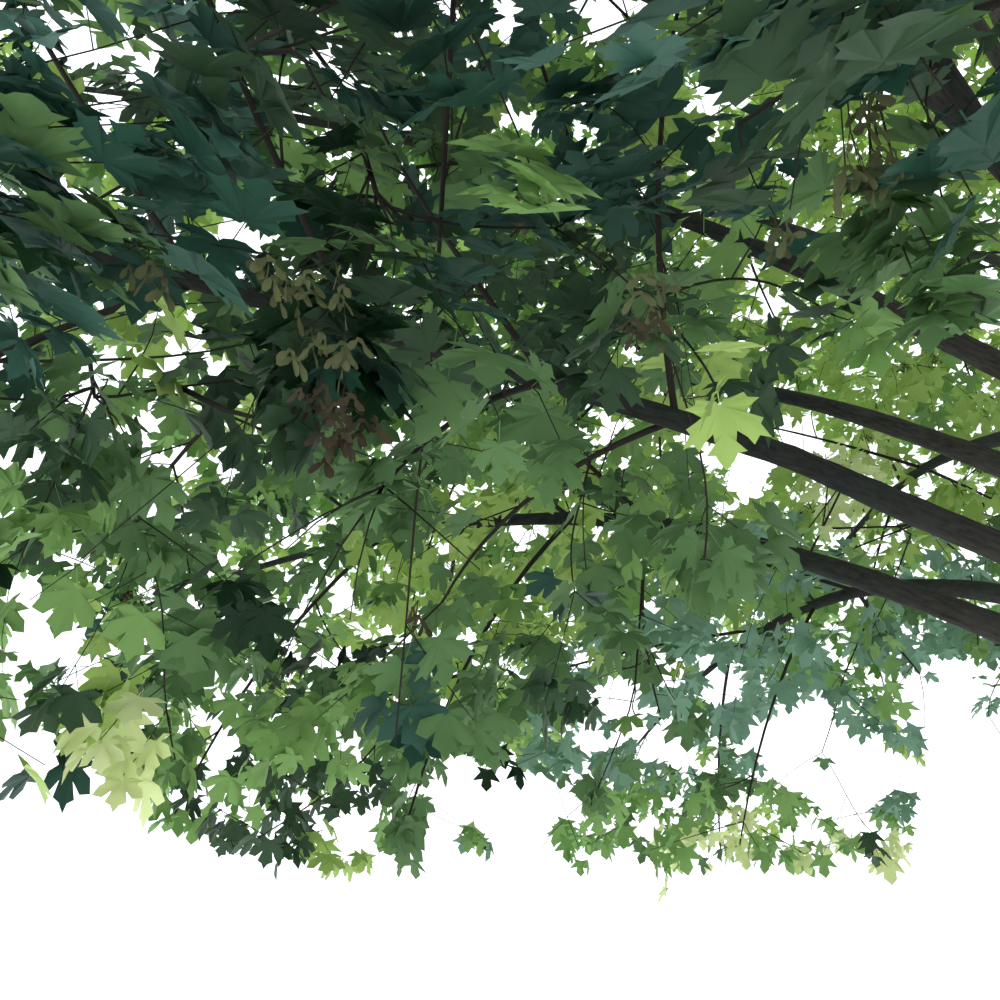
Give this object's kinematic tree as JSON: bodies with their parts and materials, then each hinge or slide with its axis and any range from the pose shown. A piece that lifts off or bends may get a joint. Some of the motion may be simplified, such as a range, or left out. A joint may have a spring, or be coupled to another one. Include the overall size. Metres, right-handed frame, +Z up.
{
  "type": "maple tree",
  "caption": "Broad, low-branched maple tree in full summer leaf: flared trunk, tapering boughs in tiers, and masses of lobed leaves with hanging winged seeds.",
  "frame": {"origin": "middle of the flat cut under the trunk, at ground level", "axes": "+Z straight up; the ground mount faces -Z; X and Y are level"},
  "size_m": [10.5964, 10.5954, 10.3972],
  "materials": {
    "bark": "dark grey-brown, furrowed",
    "leaf": "satin green leaves"
  },
  "bodies": {
    "root": {"trunk": "bark", "bough_low_1": "bark", "bough_low_2": "bark", "bough_low_3": "bark", "bough_low_4": "bark", "bough_low_5": "bark", "bough_low_6": "bark", "bough_low_7": "bark", "bough_low_8": "bark", "bough_middle_1": "bark", "bough_middle_2": "bark", "bough_middle_3": "bark", "bough_middle_4": "bark", "bough_middle_5": "bark", "bough_middle_6": "bark", "bough_middle_7": "bark", "bough_middle_8": "bark", "bough_upper_1": "bark", "bough_upper_2": "bark", "bough_upper_3": "bark", "bough_upper_4": "bark", "bough_upper_5": "bark", "bough_upper_6": "bark", "bough_top_1": "bark", "bough_top_2": "bark", "bough_top_3": "bark", "bough_leader_1": "bark", "foliage_low_1": "leaf", "foliage_low_2": "leaf", "foliage_low_3": "leaf", "foliage_low_4": "leaf", "foliage_low_5": "leaf", "foliage_low_6": "leaf", "foliage_low_7": "leaf", "foliage_low_8": "leaf", "foliage_middle_1": "leaf", "foliage_middle_2": "leaf", "foliage_middle_3": "leaf", "foliage_middle_4": "leaf", "foliage_middle_5": "leaf", "foliage_middle_6": "leaf", "foliage_middle_7": "leaf", "foliage_middle_8": "leaf", "foliage_upper_1": "leaf", "foliage_upper_2": "leaf", "foliage_upper_3": "leaf", "foliage_upper_4": "leaf", "foliage_upper_5": "leaf", "foliage_upper_6": "leaf", "foliage_top_1": "leaf", "foliage_top_2": "leaf", "foliage_top_3": "leaf", "foliage_leader_1": "leaf"}
  },
  "joints": []
}
